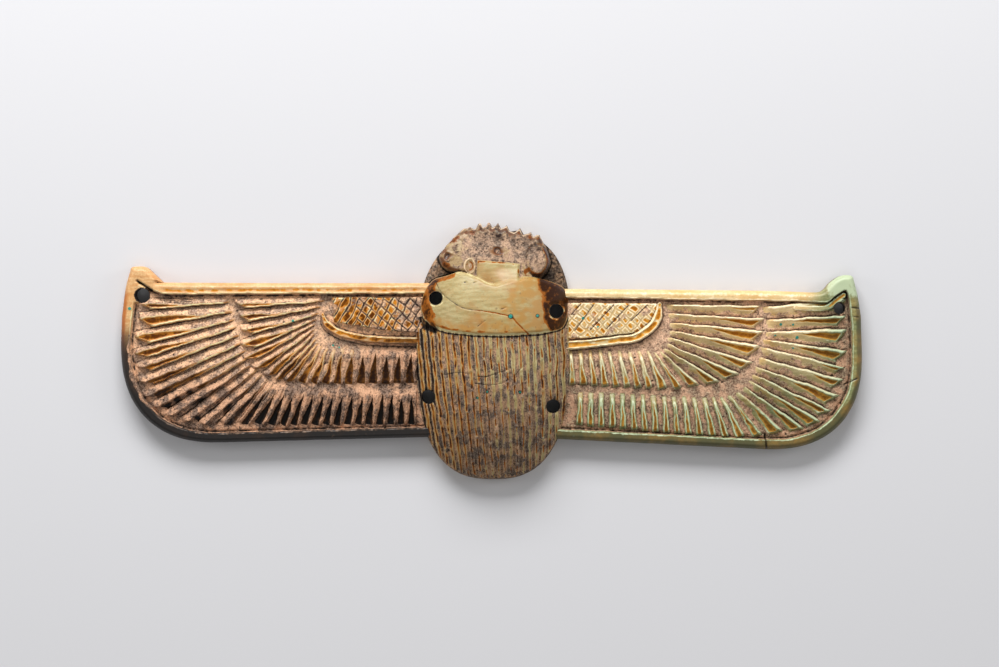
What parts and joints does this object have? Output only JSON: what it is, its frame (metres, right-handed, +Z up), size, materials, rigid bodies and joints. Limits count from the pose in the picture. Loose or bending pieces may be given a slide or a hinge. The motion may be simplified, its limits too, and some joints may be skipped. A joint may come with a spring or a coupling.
{
  "type": "winged scarab amulet",
  "caption": "Flat-backed carved beetle with a ridged back, toothed head and two spread feathered wings, pierced for sewing on.",
  "frame": {"origin": "on the flat back, on the line between the wings at the beetle's middle", "axes": "+X towards the wing on the viewer's right, +Y towards the beetle's head, +Z up from the flat back to the carved front"},
  "size_m": [0.145, 0.0506, 0.0128],
  "materials": {
    "glazed_stone": "worn pale green glaze, amber-brown where it pooled, with pink-beige crust in the carving"
  },
  "bodies": {
    "root": {"winged_scarab": "glazed_stone"}
  },
  "joints": []
}
